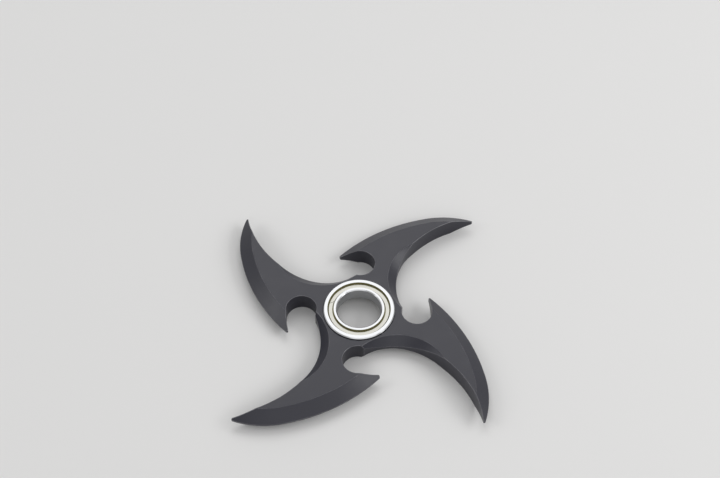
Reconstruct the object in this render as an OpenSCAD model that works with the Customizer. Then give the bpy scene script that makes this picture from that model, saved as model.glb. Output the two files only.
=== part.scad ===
// Four-bladed fidget spinner: a die-cast star pressed round a thin-section ball bearing.
// Origin on the spin axis at the star's underside, +Z up the spin axis, millimetres.

/* [Star body] */
// Thickness of the star between its two flat faces
star_h = 6.8; // [6.4:0.1:7.4]
// Height of the narrow land left along every bevelled edge
land_h = 0.5; // [0.4:0.1:1.2]
// Plan width of the long bevel along a blade's back
bevel_w = 4.25; // [3.5:0.25:4.75]
// Radius that blunts a blade's tip
tip_nose_r = 0.45; // [0.3:0.05:0.55]
// Radius that blunts a blade's hook
hook_nose_r = 0.6; // [0.4:0.05:0.7]
// Height of the bearing's lower face above the star's underside
bearing_z = 2.55; // [2:0.05:2.8]
// Inside diameter of the lip that the bearing seats on
lip_d = 21.6; // [21.2:0.1:22.4]
// Chamfer round the mouth of the bearing pocket
mouth_chamfer = 0.25; // [0.1:0.05:0.4]

/* [Blade back] */
// Radius of the back's long arc, over the hook
back_r = 59; // [58.5:0.1:59.5]
// X of the centre of that arc
back_x = 35.7; // [35.4:0.1:36]
// Y of the centre of that arc
back_y = -16.4; // [-16.7:0.1:-16.1]
// Direction from that centre in which the long arc passes into the tip arc
back_turn = 101.2; // [100.6:0.1:101.8]
// Radius of the back's tip arc
back_tip_r = 31.2; // [30.8:0.1:31.6]

/* [Blade belly] */
// Radius of the belly's root arc
belly_r = 25.3; // [25:0.1:25.6]
// X of the centre of that arc
belly_x = 38; // [37.7:0.1:38.3]
// Y of the centre of that arc
belly_y = 11.5; // [11.2:0.1:11.8]
// Direction from that centre in which the root arc passes into the tip arc
belly_turn = 137; // [136:0.5:138]
// Radius of the belly's tip arc
belly_tip_r = 36.5; // [36:0.1:37]
// Radius of the cone that hollows the belly, where its axis meets the flat face
grind_r = 15; // [14.8:0.1:15.2]
// X of the point where that axis meets the flat face
grind_x = 25.4; // [25.2:0.1:25.6]
// Y of the point where that axis meets the flat face
grind_y = 8.3; // [8.1:0.1:8.5]
// Lean of that axis towards the blade's tip
grind_lean = 16; // [15:0.5:17]
// Radius that the cone gains for each millimetre up its axis
grind_flare = 0.94; // [0.9:0.02:1]

/* [Throat] */
// Radius of the round throat under the hook
throat_r = 5.15; // [4.9:0.05:5.3]
// X of the throat's centre
throat_x = 0.3; // [0:0.1:0.6]
// Y of the throat's centre
throat_y = 19.4; // [19.2:0.1:19.7]

/* [Ball bearing] */
// Bore of the bearing
bore_d = 15; // [14.8:0.1:15.2]
// Outside diameter of the bearing
bearing_od = 24; // [23.9:0.1:24.2]
// Width of the bearing
bearing_w = 5; // [4.9:0.1:5.4]
// Number of balls
ball_n = 14; // [14:1:14]
// Diameter of a ball
ball_d = 2.38; // [2.3:0.02:2.4]
// Chamfer on the outer edges of both rings
ring_chamfer = 0.3; // [0.2:0.05:0.4]
// Direction of the slanted slit in the upper shield
slit_turn = 163.5; // [150:0.5:180]

/* [Hidden] */
$fn = 96;
blade_n = 4;
blade_step = 360 / blade_n;
over = 1;
mid_z = star_h / 2;
drop = (star_h - land_h) / 2;
reach = 80;

// Blade outline, drawn for the blade whose hook lies next to +Y. Where two arcs of a side meet,
// the tighter one stands out by this much, so that the two cross at a slight angle.
arc_lap = 0.03;
back_c = [back_x, back_y];
back_tip_c = back_c + (back_r - back_tip_r + arc_lap) * heading(back_turn);
belly_c = [belly_x, belly_y];
belly_tip_c = belly_c - (belly_tip_r - belly_r + arc_lap) * heading(belly_turn);

// How far the grinding cone runs down and up its axis from the flat face
grind_down = 10;
grind_up = 10;

// Throat, and the round ends of the hook and the tip: each end circle sits this share of its
// radius inside both edges, so that it crosses them and doesn't just touch
throat_c = [throat_x, throat_y];
throat_turn = atan2(throat_y, throat_x);
hook_r = norm(throat_c) + throat_r;
nose_fit = 0.87;
hook_inset = nose_fit * hook_nose_r;
hook_nose = meet(back_c, back_r - hook_inset, [0, 0], hook_r + hook_inset, -1);
tip_inset = nose_fit * tip_nose_r;
tip_nose = meet(back_tip_c, back_tip_r - tip_inset, belly_tip_c, belly_tip_r + tip_inset, 1);
hook_turn = 214;
tip_turn = -5;

// Bearing
bearing_mid = bearing_z + bearing_w / 2;
half_w = bearing_w / 2;
bore_r = bore_d / 2;
rim_r = bearing_od / 2;
pitch_r = (bore_r + rim_r) / 2;
ball_r = ball_d / 2;

// Races: each groove is a little wider than the ball, and the shoulders stand clear of the cage
race_play = 0.01;
race_share = 1.04;
race_r = race_share * ball_r;
shoulder = 0.8;

// Recesses for the shields, measured from the pitch circle and from the middle plane
inner_land = 1.22;
outer_land = 0.9;
inner_land_r = pitch_r - inner_land;
outer_land_r = pitch_r + outer_land;
seat_depth = 1.2;
seat_r = pitch_r + seat_depth;
seat_z = 1.2;
seat_h = 0.3;

// Shield: a raised flat that steps down into the outer ring's groove
shield_t = 0.2;
shield_top = 1.75;
shield_inset = 0.75;
shield_step = 0.32;
shield_foot = 0.57;
shield_play = 0.02;
shield_in_r = pitch_r - shield_inset;
shield_step_r = pitch_r + shield_step;
shield_foot_r = pitch_r + shield_foot;
shield_out_r = seat_r - shield_play;
slit_w = 0.14;
slit_l = 3.2;
slit_lean = 38;

// Cage: two pressed ribbons riveted between the balls
cage_t = 0.15;
cage_w = 1.05;
pocket_play = 0.03;
pocket_r = ball_r + pocket_play;
cage_shift = 0.12;
cage_r = pitch_r - cage_shift;
rivet_d = 0.5;
rivet_head_d = 0.8;
rivet_head_h = 0.12;

star_colour = [0.16, 0.16, 0.175];
ring_colour = [0.86, 0.87, 0.88];
shield_colour = [0.8, 0.8, 0.75];
ball_colour = [0.78, 0.79, 0.8];
cage_colour = [0.72, 0.66, 0.5];

ball_names = [for (i = [1:ball_n]) str("ball_", i < 10 ? "0" : "", i)];

// Unit vector in a direction given in degrees
function heading(a) = [cos(a), sin(a)];

// Where two circles cross, on the side (+1 or -1) left of the line from the first centre to the second
function meet(c1, r1, c2, r2, side) =
    let (d = norm(c2 - c1))
    let (u = (c2 - c1) / d)
    let (a = (r1 * r1 - r2 * r2 + d * d) / (2 * d))
    let (h = sqrt(r1 * r1 - a * a))
    c1 + a * u + side * h * [-u[1], u[0]];

// A slab that covers everything to the left of a line through a point
module left_of(point, turn) {
    translate([point[0], point[1], -over])
        rotate(turn)
        translate([-reach, 0, 0])
        cube([2 * reach, reach, star_h + 2 * over]);
}

// A disc with a bevel above and below that leaves the land at mid height
module bevelled_disc(centre, radius) {
    translate(centre)
        rotate_extrude()
        polygon([
            [0, 0],
            [radius - bevel_w, 0],
            [radius, drop],
            [radius, star_h - drop],
            [radius - bevel_w, star_h],
            [0, star_h]
        ]);
}

// Everything inside the back's two arcs
module back_side() {
    intersection() {
        bevelled_disc(back_c, back_r);
        left_of(back_c, back_turn);
    }
    bevelled_disc(back_tip_c, back_tip_r);
}

// A plain round cutter that runs past both faces
module round_cut(centre, radius) {
    translate([centre[0], centre[1], -over])
        cylinder(r = radius, h = star_h + 2 * over);
}

// Everything inside the belly's two arcs
module belly_cut() {
    round_cut(belly_c, belly_r);
    intersection() {
        round_cut(belly_tip_c, belly_tip_r);
        left_of(belly_c, belly_turn + 180);
    }
}

// The leaning cones that hollow both faces along the belly's root arc, down to the land
module grind_cut() {
    for (side = [0, 1])
        translate([0, 0, mid_z])
            mirror([0, 0, side])
            intersection() {
                translate([grind_x, grind_y, mid_z])
                    rotate([-grind_lean, 0, 0])
                    translate([0, 0, -grind_down])
                    cylinder(
                        r1 = grind_r - grind_flare * grind_down,
                        r2 = grind_r + grind_flare * grind_up,
                        h = grind_down + grind_up
                    );
                translate([-reach, -reach, land_h / 2])
                    cube([2 * reach, 2 * reach, star_h]);
            }
}

// The clear space under the hook
module hook_cut() {
    intersection() {
        round_cut([0, 0], hook_r);
        left_of([0, 0], throat_turn);
    }
}

// What lies beyond the round nose of a pointed end
module nose_cut(centre, turn, radius) {
    difference() {
        left_of(centre, turn - 90);
        round_cut(centre, radius);
    }
}

module blade() {
    difference() {
        intersection() {
            back_side();
            left_of([0, 0], throat_turn - blade_step);
        }
        belly_cut();
        grind_cut();
        hook_cut();
        intersection() {
            nose_cut(hook_nose, hook_turn, hook_nose_r);
            left_of([0, 0], throat_turn);
        }
        nose_cut(tip_nose, tip_turn, tip_nose_r);
    }
}

module star_body() {
    color(star_colour)
        difference() {
            union() {
                for (i = [0:blade_n - 1])
                    rotate(i * blade_step)
                        blade();
            }
            for (i = [0:blade_n - 1])
                rotate(i * blade_step)
                    round_cut(throat_c, throat_r);
            translate([0, 0, bearing_z])
                cylinder(d = bearing_od, h = star_h);
            translate([0, 0, -over])
                cylinder(d = lip_d, h = star_h);
            translate([0, 0, star_h - mouth_chamfer])
                cylinder(r1 = rim_r, r2 = rim_r + mouth_chamfer + over, h = mouth_chamfer + over);
        }
}

// Half of a ring's section, from the bearing's middle plane up, with its chamfers
module ring_half(r_in, r_out, chamfer_in, chamfer_out) {
    polygon([
        [r_in, 0],
        [r_out, 0],
        [r_out, half_w - chamfer_out],
        [r_out - chamfer_out, half_w],
        [r_in + chamfer_in, half_w],
        [r_in, half_w - chamfer_in]
    ]);
}

module both_halves() {
    children();
    mirror([0, 1]) children();
}

module outer_ring() {
    bottom_r = pitch_r + ball_r + race_play;
    color(ring_colour)
        translate([0, 0, bearing_mid])
        rotate_extrude()
        difference() {
            both_halves()
                difference() {
                    ring_half(pitch_r + shoulder, rim_r, 0, ring_chamfer);
                    translate([0, seat_z])
                        square([outer_land_r, half_w]);
                    translate([0, seat_z])
                        square([seat_r, seat_h]);
                }
            translate([bottom_r - race_r, 0])
                circle(r = race_r);
        }
}

module inner_ring() {
    bottom_r = pitch_r - ball_r - race_play;
    color(ring_colour)
        translate([0, 0, bearing_mid])
        rotate_extrude()
        difference() {
            both_halves()
                difference() {
                    ring_half(bore_r, pitch_r - shoulder, ring_chamfer, 0);
                    translate([inner_land_r, seat_z + seat_h / 2])
                        square([shoulder, half_w]);
                }
            translate([bottom_r + race_r, 0])
                circle(r = race_r);
        }
}

module shield_plate() {
    rotate_extrude()
        polygon([
            [shield_in_r, shield_top - shield_t],
            [shield_step_r, shield_top - shield_t],
            [shield_foot_r, seat_z],
            [shield_out_r, seat_z],
            [shield_out_r, seat_z + shield_t],
            [shield_foot_r + shield_t / 2, seat_z + shield_t],
            [shield_step_r + shield_t / 2, shield_top],
            [shield_in_r, shield_top]
        ]);
}

// A split shield: the slanted slit lets it spring into the ring's groove
module split_shield() {
    difference() {
        shield_plate();
        rotate(slit_turn)
            translate([pitch_r, 0, half_w / 2])
            rotate(slit_lean)
            cube([slit_l, slit_w, half_w], center = true);
    }
}

module upper_shield() {
    color(shield_colour)
        translate([0, 0, bearing_mid])
        split_shield();
}

module lower_shield() {
    color(shield_colour)
        translate([0, 0, bearing_mid])
        mirror([0, 0, 1])
        split_shield();
}

// Puts its children at every ball, or half way between the balls
module round_the_pitch(shift = 0) {
    for (i = [0:ball_n - 1])
        rotate((i + shift) * 360 / ball_n)
            translate([pitch_r, 0, 0])
            children();
}

module cage_band(height) {
    difference() {
        cylinder(r = cage_r + cage_w / 2, h = height);
        translate([0, 0, -over])
            cylinder(r = cage_r - cage_w / 2, h = height + 2 * over);
    }
}

module cage_half() {
    difference() {
        intersection() {
            cage_band(ball_r + cage_t * 2);
            union() {
                cylinder(r = rim_r, h = cage_t);
                round_the_pitch() sphere(r = pocket_r + cage_t);
            }
        }
        round_the_pitch() sphere(r = pocket_r);
        round_the_pitch(0.5) cylinder(d = rivet_d, h = half_w, center = true);
    }
}

module upper_cage() {
    color(cage_colour)
        translate([0, 0, bearing_mid])
        cage_half();
}

module lower_cage() {
    color(cage_colour)
        translate([0, 0, bearing_mid])
        mirror([0, 0, 1])
        cage_half();
}

module cage_rivets() {
    color(cage_colour)
        translate([0, 0, bearing_mid])
        round_the_pitch(0.5) {
            cylinder(d = rivet_d, h = 2 * cage_t, center = true);
            for (side = [0, 1])
                mirror([0, 0, side])
                    translate([0, 0, cage_t])
                    cylinder(d = rivet_head_d, h = rivet_head_h);
        }
}

module ball(i) {
    color(ball_colour)
        rotate((i - 1) * 360 / ball_n)
        translate([pitch_r, 0, bearing_mid])
        sphere(d = ball_d);
}

star_body();
outer_ring();
inner_ring();
upper_shield();
lower_shield();
upper_cage();
lower_cage();
cage_rivets();
for (i = [1:ball_n])
    ball(i);
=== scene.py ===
"""The finish of a four-bladed hand spinner that turns on a thin ball bearing.

Run as a script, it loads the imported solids, gives each of them its finish, builds the stage and the
camera, and leaves the scene ready to render. It is laid out as an add-on: the panel in the 3D view's
sidebar lists the same steps as buttons, and its settings hold the sizes and colours that a user would
change.
"""

import math

import bpy
from bpy.props import FloatProperty, FloatVectorProperty, PointerProperty
from mathutils import Matrix, Vector


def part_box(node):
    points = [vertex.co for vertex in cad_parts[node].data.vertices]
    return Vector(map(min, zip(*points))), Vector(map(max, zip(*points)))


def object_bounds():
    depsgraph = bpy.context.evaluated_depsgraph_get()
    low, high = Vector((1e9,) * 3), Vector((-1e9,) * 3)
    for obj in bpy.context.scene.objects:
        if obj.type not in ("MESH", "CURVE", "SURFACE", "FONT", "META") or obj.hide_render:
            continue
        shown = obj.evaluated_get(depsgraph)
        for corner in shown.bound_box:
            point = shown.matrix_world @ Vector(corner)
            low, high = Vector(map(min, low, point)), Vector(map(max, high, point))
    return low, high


bl_info = {
    "name": "Four-bladed spinner finish",
    "version": (1, 0, 0),
    "blender": (4, 5, 0),
    "location": "3D View > Sidebar > Spinner",
    "description": "Finishes the packed solids of a bladed hand spinner and stages them",
    "category": "Object",
}

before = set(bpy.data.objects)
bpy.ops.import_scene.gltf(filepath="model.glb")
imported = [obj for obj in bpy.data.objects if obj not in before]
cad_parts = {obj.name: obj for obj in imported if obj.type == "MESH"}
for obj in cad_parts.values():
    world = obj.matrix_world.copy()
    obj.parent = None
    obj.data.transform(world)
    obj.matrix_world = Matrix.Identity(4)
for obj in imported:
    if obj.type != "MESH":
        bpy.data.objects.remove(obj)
cad_low, cad_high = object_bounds()

MM = 0.001
WHITE = (1.0, 1.0, 1.0)

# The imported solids, by finish
STAR = ("star_body",)
RINGS = ("outer_ring", "inner_ring")
SHIELDS = ("upper_shield", "lower_shield")
CAGE = ("upper_cage", "lower_cage", "cage_rivets")
BALLS = tuple(sorted(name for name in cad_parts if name.startswith("ball_")))

# The height of the bearing's middle plane, half its width, and how far a shield's outer face stands from
# that plane
ring_low, ring_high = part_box(RINGS[0])
BEARING_MIDDLE = (ring_low.z + ring_high.z) / 2
BEARING_HALF_WIDTH = (ring_high.z - ring_low.z) / 2
SHIELD_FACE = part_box(SHIELDS[0])[1].z - BEARING_MIDDLE

# The radii between which the two rings face each other, across the gap that the balls run in
GAP_WALLS = (8.45 * MM, 10.8 * MM)

# The distance over which bright steel passes into the painted shade down in the grooves
RECESS_BLEND = 0.05 * MM

# How many rays feel for an edge round each point of the paint
EDGE_RAYS = 8

# How far a rounded edge's normal leans from the face's own, as 1 - cosine, where edge colour starts and is
# full
# The edge colour is partly wear and partly a painted highlight along the rounded edges
WEAR_AND_HIGHLIGHT_START = 0.008
WEAR_AND_HIGHLIGHT_FULL = 0.07

# Half the side of the square floor, in metres
FLOOR_REACH = 3.0

# Each soft box's place, from where it aims at the frame's origin, and its width and depth, in metres
SOFT_BOXES = {
    "back": ((0.0, 0.46, 0.66), (0.6, 0.5)),
    "right": ((0.68, -0.06, 0.48), (0.65, 0.3)),
    "left": ((-0.70, -0.07, 0.48), (0.4, 0.3)),
    "front": ((0.14, -0.64, 0.47), (1.0, 0.32)),
}

# The camera's place, nearest and furthest view, in metres, and the width of its film, in millimetres
CAMERA_PLACE = (-0.00107, -0.22193, 0.34074)
CAMERA_NEAR = 0.01
CAMERA_FAR = 20.0
FILM_WIDTH = 36.0

# The camera's turn to the right of +Y, how far it looks down, and its tilt to the left, in radians
CAMERA_YAW = 0.005
CAMERA_PITCH = 0.925
CAMERA_ROLL = 0.012


def colour_setting(name, description, default):
    """A colour property with the ranges that every finish here shares."""
    return FloatVectorProperty(
        name=name, description=description, subtype="COLOR", size=3, min=0.0, max=1.0, default=default
    )


def lamp_setting(name, place, default):
    """The power of one soft box."""
    return FloatProperty(
        name=name, description=f"Power of the soft box {place}", default=default, min=0.0, unit="POWER"
    )


class SpinnerPaint(bpy.types.PropertyGroup):
    """The painted star."""

    colour: colour_setting("Paint", "Colour of the satin paint", (0.011, 0.011, 0.021))
    # Partly wear, partly a painted highlight: the lighter colour laid along the star's rounded edges
    wear_and_highlight: colour_setting("Worn edge", "Colour where fingers rub the paint's edges", (0.29, 0.29, 0.31))
    roughness: FloatProperty(
        name="Roughness", description="How soft the paint's shine is", default=0.36, min=0.05, max=1.0
    )
    edge_round: FloatProperty(
        name="Edge radius", description="How softly the paint runs over the star's edges",
        default=0.35 * MM, min=0.02 * MM, max=0.5 * MM, unit="LENGTH", precision=5,
    )


class SpinnerSteel(bpy.types.PropertyGroup):
    """The bearing's bright parts."""

    ring: colour_setting("Rings", "Colour of the ground steel rings", (0.462, 0.468, 0.478))
    shield: colour_setting("Shields", "Colour of the pressed shields", (0.40, 0.395, 0.36))
    # A painted shade, dark olive, laid on the faces down in the bearing's grooves
    recess_shade: colour_setting("Recess", "Colour of the oily faces down in the grooves", (0.27, 0.25, 0.12))
    cage: colour_setting("Cage", "Colour of the ribbon cage", (0.62, 0.58, 0.46))
    ball: colour_setting("Balls", "Colour of the polished balls", (0.82, 0.83, 0.84))


class SpinnerStage(bpy.types.PropertyGroup):
    """Floor, lamps and camera."""

    floor: colour_setting("Floor", "Colour of the floor", (0.80, 0.797, 0.792))
    sky: FloatProperty(
        name="Sky", description="Strength of the even light from all round", default=0.45, min=0.0
    )
    backdrop: FloatProperty(
        name="Backdrop", description="How bright the surroundings look, and shine back from gloss",
        default=0.68, min=0.0, max=1.0,
    )
    back: lamp_setting("Back lamp", "behind", 1.4)
    right: lamp_setting("Right lamp", "at the right", 2.1)
    left: lamp_setting("Left lamp", "at the left", 0.9)
    front: lamp_setting("Front lamp", "in front", 0.8)
    lens: FloatProperty(
        name="Lens", description="Focal length of the camera", default=59.58, min=10.0, unit="CAMERA"
    )


class Value:
    """One number, colour or vector in a graph. Python's operators, which are for numbers, add Math nodes."""

    def __init__(self, graph, socket):
        self.graph = graph
        self.socket = socket

    def _math(self, operation, *terms):
        return self.graph.node("ShaderNodeMath", {"operation": operation}, dict(enumerate(terms)))

    def __add__(self, other):
        return self._math("ADD", self, other)

    def __radd__(self, other):
        return self._math("ADD", other, self)

    def __sub__(self, other):
        return self._math("SUBTRACT", self, other)

    def __rsub__(self, other):
        return self._math("SUBTRACT", other, self)

    def __mul__(self, other):
        return self._math("MULTIPLY", self, other)

    def __rmul__(self, other):
        return self._math("MULTIPLY", other, self)

    def __pow__(self, other):
        return self._math("POWER", self, other)


class Graph:
    """The nodes of one material or world."""

    def __init__(self, owner):
        self.owner = owner
        self.owner.use_nodes = True
        self.tree = self.owner.node_tree
        self.tree.nodes.clear()

    def node(self, kind, settings=None, sockets=None, out=0):
        """Adds a node and gives back one of its outputs, where it has any.

        Settings are set first, then sockets by name or place, from plain numbers or from Values.
        """
        made = self.tree.nodes.new(kind)
        for key, value in (settings or {}).items():
            if key == "stops":
                self._set_stops(made.color_ramp, value)
            else:
                setattr(made, key, value)
        for key, value in (sockets or {}).items():
            socket = made.inputs[key]
            if isinstance(value, Value):
                self.tree.links.new(value.socket, socket)
            elif socket.type == "RGBA":
                socket.default_value = (*value, 1.0)
            else:
                socket.default_value = value
        return Value(self, made.outputs[out]) if made.outputs else None

    @staticmethod
    def _set_stops(ramp, stops):
        """Moves a new ramp's two stops, from black to white, to two places."""
        for element, stop in zip(ramp.elements, stops):
            element.position = stop

    def place(self):
        """A point's own place on the object, in metres."""
        return self.node("ShaderNodeTexCoord", out="Object")

    def noise(self, at, scale, detail=2.0, roughness=0.5):
        """Noise from 0 to 1, as a number, with scale cells to the metre."""
        sockets = {"Vector": at, "Scale": scale, "Detail": detail, "Roughness": roughness}
        return self.node("ShaderNodeTexNoise", None, sockets, "Fac")

    def ramp(self, value, start, end):
        """Rises evenly from 0 to 1 as a value goes from start to end."""
        return self.node("ShaderNodeValToRGB", {"stops": (start, end)}, {"Fac": value})

    def mix(self, factor, first, second):
        """A colour between two colours. The Mix node has its colour inputs at 6 and 7, its output at 2."""
        return self.node("ShaderNodeMix", {"data_type": "RGBA"}, {0: factor, 6: first, 7: second}, 2)

    def parts(self, at):
        """A point's three coordinates, as numbers."""
        return [self.node("ShaderNodeSeparateXYZ", None, {0: at}, axis) for axis in "XYZ"]

    def point(self, x, y, z):
        """A point from three numbers."""
        return self.node("ShaderNodeCombineXYZ", None, {"X": x, "Y": y, "Z": z})

    def step(self, value, start, end):
        """Rises smoothly from 0 to 1 as a value goes from start to end."""
        span = {"Value": value, "From Min": start, "From Max": end}
        return self.node("ShaderNodeMapRange", {"interpolation_type": "SMOOTHSTEP"}, span)

    def bump(self, height, distance, normal=None):
        """Small relief, laid over another normal where one is given."""
        sockets = {"Distance": distance, "Height": height}
        if normal:
            sockets["Normal"] = normal
        return self.node("ShaderNodeBump", None, sockets)

    def surface(self, **sockets):
        """Wires a Principled shader, with its sockets given by name, and gives back the material."""
        named = {key.replace("_", " "): value for key, value in sockets.items()}
        shader = self.node("ShaderNodeBsdfPrincipled", None, named)
        self.node("ShaderNodeOutputMaterial", None, {"Surface": shader})
        return self.owner


def shade(colour, factor):
    """A colour made lighter or darker."""
    return tuple(channel * factor for channel in colour)


def edge_wear_and_highlight(g, radius):
    """The normal that a rounded edge would have, and a mask that is 1 along such edges, for wear and painted
    highlight.
    """
    rounded = g.node("ShaderNodeBevel", {"samples": EDGE_RAYS}, {"Radius": radius})
    plain = g.node("ShaderNodeNewGeometry", out="Normal")
    same = g.node("ShaderNodeVectorMath", {"operation": "DOT_PRODUCT"}, {0: rounded, 1: plain}, "Value")
    return rounded, g.step(1.0 - same, WEAR_AND_HIGHLIGHT_START, WEAR_AND_HIGHLIGHT_FULL)


def paint_finish(settings):
    """Satin paint on a cast blade: fine orange peel, faint cloudiness, and edges rubbed by handling that
    also carry a painted highlight.
    """
    g = Graph(bpy.data.materials.new("satin_paint"))
    at = g.place()
    cloud = g.noise(at, scale=55.0, detail=3.0)
    peel = g.noise(at, scale=2600.0, detail=3.0, roughness=0.6)
    rubbed = g.ramp(g.noise(at, scale=130.0, detail=4.0, roughness=0.6), start=0.5, end=0.72)
    patch = g.ramp(g.noise(at, scale=260.0, detail=4.0, roughness=0.65), start=0.42, end=0.66)
    rounded, edge = edge_wear_and_highlight(g, settings.edge_round)
    clouded = cloud * 0.5
    dusted = peel * 0.12
    # Along the rounded edges the paint turns lighter and glossier: partly wear, partly a painted highlight
    wear_and_highlight = edge * (0.5 + patch * 0.5)
    tint = g.mix(clouded, settings.colour, shade(settings.colour, factor=1.18))
    tint = g.mix(dusted, tint, shade(settings.wear_and_highlight, factor=0.25))
    tint = g.mix(wear_and_highlight, tint, settings.wear_and_highlight)
    uneven = (peel - 0.5) * 0.08
    handled = rubbed * 0.05
    polished = edge * (0.1 + patch * 0.06)
    return g.surface(
        Base_Color=tint,
        Roughness=settings.roughness + uneven - handled - polished,
        Normal=g.bump(peel, distance=0.006 * MM, normal=rounded),
    )


def turned_finish(name, colour, roughness, line_depth, recess_shade, open_height, walls=None):
    """Steel with the fine rings that turning and grinding leave, all round the axis.

    Nearer than open_height to the bearing's middle plane it takes a painted shade, darker and less metallic.
    it does so only between their two radii.
    """
    g = Graph(bpy.data.materials.new(name))
    at = g.place()
    x, y, height = g.parts(at)
    radius = (x * x + y * y) ** 0.5
    section = g.point(radius, height, 0.0)
    lines = g.noise(section, scale=9000.0, roughness=0.7)
    broad = g.noise(section, scale=1400.0)
    smudge = g.noise(at, scale=240.0, detail=3.0, roughness=0.55)
    # Painted shade: faces near the middle plane turn dark, less metallic and rougher
    off_middle = g.node("ShaderNodeMath", {"operation": "ABSOLUTE"}, {0: height - BEARING_MIDDLE})
    recess_shade_mask = 1.0 - g.step(off_middle, open_height - RECESS_BLEND, open_height)
    if walls:
        inner, outer = walls
        past_inner = g.step(radius, inner - RECESS_BLEND, inner)
        past_outer = g.step(radius, outer, outer + RECESS_BLEND)
        recess_shade_mask = recess_shade_mask * past_inner * (1.0 - past_outer)
    scored = lines * 0.25
    tint = g.mix(scored, colour, shade(colour, factor=0.86))
    shaded = recess_shade_mask * 0.75
    grooved = lines * 0.06
    smeared = smudge * 0.08
    dulled = recess_shade_mask * 0.2
    relief = lines * 0.6 + broad * 0.4
    return g.surface(
        Base_Color=g.mix(recess_shade_mask, tint, recess_shade),
        Metallic=1.0 - shaded,
        Roughness=roughness + grooved + smeared + dulled,
        Normal=g.bump(relief, line_depth),
    )


def polished_finish(name, colour, roughness):
    """Smooth bright steel with a faint haze."""
    g = Graph(bpy.data.materials.new(name))
    haze = g.noise(g.place(), scale=500.0, detail=3.0, roughness=0.6)
    dimmed = haze * 0.3
    dulled = haze * 0.06
    tint = g.mix(dimmed, colour, shade(colour, factor=0.9))
    return g.surface(Base_Color=tint, Metallic=1.0, Roughness=roughness + dulled)


def finish_nodes(names, material):
    """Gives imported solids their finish."""
    for name in names:
        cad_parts[name].material_slots[0].material = material


class SPINNER_OT_star(bpy.types.Operator):
    """Paint the star, with soft, rubbed edges that also carry a painted highlight"""

    bl_idname = "spinner.star"
    bl_label = "Star"

    def execute(self, context):
        finish_nodes(STAR, paint_finish(context.scene.spinner_paint))
        return {"FINISHED"}


class SPINNER_OT_rings(bpy.types.Operator):
    """Give the bearing's two rings their ground finish"""

    bl_idname = "spinner.rings"
    bl_label = "Rings"

    def execute(self, context):
        settings = context.scene.spinner_steel
        # The rings' faces down in the gap between them take a painted shade
        steel = turned_finish(
            "ground_steel", settings.ring, roughness=0.12, line_depth=0.0012 * MM,
            recess_shade=settings.recess_shade, open_height=BEARING_HALF_WIDTH - RECESS_BLEND, walls=GAP_WALLS,
        )
        finish_nodes(RINGS, steel)
        return {"FINISHED"}


class SPINNER_OT_shields(bpy.types.Operator):
    """Give the two shields their pressed finish"""

    bl_idname = "spinner.shields"
    bl_label = "Shields"

    def execute(self, context):
        settings = context.scene.spinner_steel
        # The shields' faces set back from their outer face take a painted shade
        steel = turned_finish(
            "pressed_steel", settings.shield, roughness=0.24, line_depth=0.002 * MM,
            recess_shade=settings.recess_shade, open_height=SHIELD_FACE - RECESS_BLEND / 2,
        )
        finish_nodes(SHIELDS, steel)
        return {"FINISHED"}


class SPINNER_OT_balls(bpy.types.Operator):
    """Polish the balls and finish the ribbon cage that spaces them"""

    bl_idname = "spinner.balls"
    bl_label = "Balls and cage"

    def execute(self, context):
        settings = context.scene.spinner_steel
        finish_nodes(CAGE, polished_finish("cage_steel", settings.cage, roughness=0.28))
        finish_nodes(BALLS, polished_finish("ball_steel", settings.ball, roughness=0.05))
        return {"FINISHED"}


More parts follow.
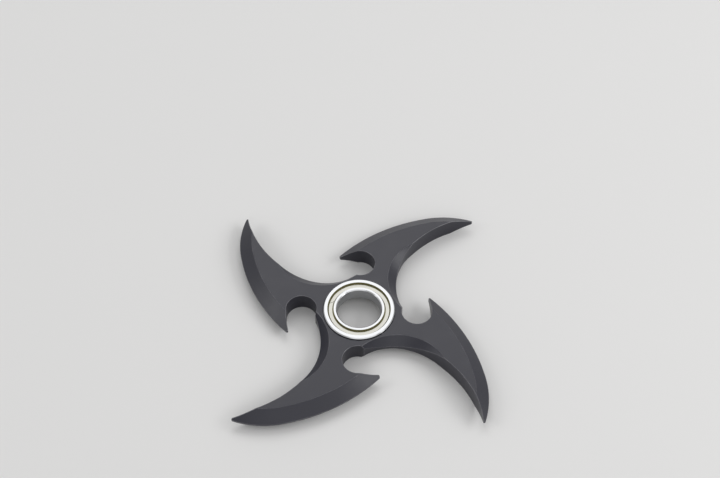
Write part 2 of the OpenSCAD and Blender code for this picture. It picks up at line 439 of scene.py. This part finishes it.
class SPINNER_OT_stage(bpy.types.Operator):
    """Lay the floor, hang the lamps and set the camera"""

    bl_idname = "spinner.stage"
    bl_label = "Stage"

    def execute(self, context):
        scene = context.scene
        settings = scene.spinner_stage
        self.lay_floor(scene, settings)
        self.light_sky(scene, settings)
        for side, (place, size) in SOFT_BOXES.items():
            self.hang_lamp(scene, side + "_box", getattr(settings, side), place, size)
        self.set_camera(scene, settings)
        scene.view_settings.view_transform = "Standard"
        return {"FINISHED"}

    def lay_floor(self, scene, settings):
        """A square floor under the object, faintly mottled."""
        corners = [
            (across * FLOOR_REACH, along * FLOOR_REACH, cad_low.z)
            for across, along in ((-1, -1), (1, -1), (1, 1), (-1, 1))
        ]
        mesh = bpy.data.meshes.new("floor")
        mesh.from_pydata(corners, [], [(0, 1, 2, 3)])
        floor = bpy.data.objects.new("floor", mesh)
        scene.collection.objects.link(floor)
        g = Graph(bpy.data.materials.new("pale_floor"))
        mottled = g.noise(g.place(), scale=30.0) * 0.4
        tint = g.mix(mottled, settings.floor, shade(settings.floor, factor=0.985))
        mesh.materials.append(g.surface(Base_Color=tint, Roughness=0.85))

    def light_sky(self, scene, settings):
        """Even light, which looks paler where it is seen, mirrored or seen through."""
        scene.world = bpy.data.worlds.new("sky")
        g = Graph(scene.world)
        seen = 0.0
        for ray in ("Is Camera Ray", "Is Glossy Ray", "Is Transmission Ray"):
            is_ray = g.node("ShaderNodeLightPath", out=ray)
            seen = g.node("ShaderNodeMath", {"operation": "MAXIMUM"}, {0: seen, 1: is_ray})
        strength = settings.sky + seen * (settings.backdrop - settings.sky)
        light = g.node("ShaderNodeBackground", None, {"Color": WHITE, "Strength": strength})
        g.node("ShaderNodeOutputWorld", None, {"Surface": light})

    def hang_lamp(self, scene, name, power, place, size):
        """A soft box that hangs at a place and faces the frame's origin."""
        lamp = bpy.data.lights.new(name, "AREA")
        lamp.shape = "RECTANGLE"
        lamp.size, lamp.size_y = size
        lamp.energy = power
        hung = bpy.data.objects.new(name, lamp)
        hung.location = place
        hung.rotation_euler = (-Vector(place)).to_track_quat("-Z", "Y").to_euler()
        scene.collection.objects.link(hung)

    def set_camera(self, scene, settings):
        """A camera that stands in front of the object and looks down on it."""
        data = bpy.data.cameras.new("camera")
        data.lens = settings.lens
        data.sensor_width = FILM_WIDTH
        data.clip_start = CAMERA_NEAR
        data.clip_end = CAMERA_FAR
        camera = bpy.data.objects.new("camera", data)
        camera.matrix_world = (
            Matrix.Translation(CAMERA_PLACE)
            @ Matrix.Rotation(-CAMERA_YAW, 4, "Z")
            @ Matrix.Rotation(math.pi / 2 - CAMERA_PITCH, 4, "X")
            @ Matrix.Rotation(CAMERA_ROLL, 4, "Z")
        )
        scene.collection.objects.link(camera)
        scene.camera = camera


class SPINNER_PT_panel(bpy.types.Panel):
    """Every step of the finish, with its settings"""

    bl_label = "Spinner"
    bl_space_type = "VIEW_3D"
    bl_region_type = "UI"
    bl_category = "Spinner"

    def draw(self, context):
        for group, operators in STEPS:
            box = self.layout.box()
            settings = getattr(context.scene, group)
            for key in settings.bl_rna.properties.keys():
                if key not in ("rna_type", "name"):
                    box.prop(settings, key)
            for operator in operators:
                box.operator(operator.bl_idname)


STEPS = (
    ("spinner_paint", (SPINNER_OT_star,)),
    ("spinner_steel", (SPINNER_OT_rings, SPINNER_OT_shields, SPINNER_OT_balls)),
    ("spinner_stage", (SPINNER_OT_stage,)),
)
GROUPS = {"spinner_paint": SpinnerPaint, "spinner_steel": SpinnerSteel, "spinner_stage": SpinnerStage}
OPERATORS = tuple(operator for _, operators in STEPS for operator in operators)
KINDS = (*GROUPS.values(), *OPERATORS, SPINNER_PT_panel)


def register():
    for kind in KINDS:
        bpy.utils.register_class(kind)
    for key, kind in GROUPS.items():
        setattr(bpy.types.Scene, key, PointerProperty(type=kind))


def unregister():
    for key in GROUPS:
        delattr(bpy.types.Scene, key)
    for kind in reversed(KINDS):
        bpy.utils.unregister_class(kind)


def main():
    """Runs every step in order."""
    register()
    bpy.ops.spinner.star()
    bpy.ops.spinner.rings()
    bpy.ops.spinner.shields()
    bpy.ops.spinner.balls()
    bpy.ops.spinner.stage()


if __name__ == "__main__":
    main()
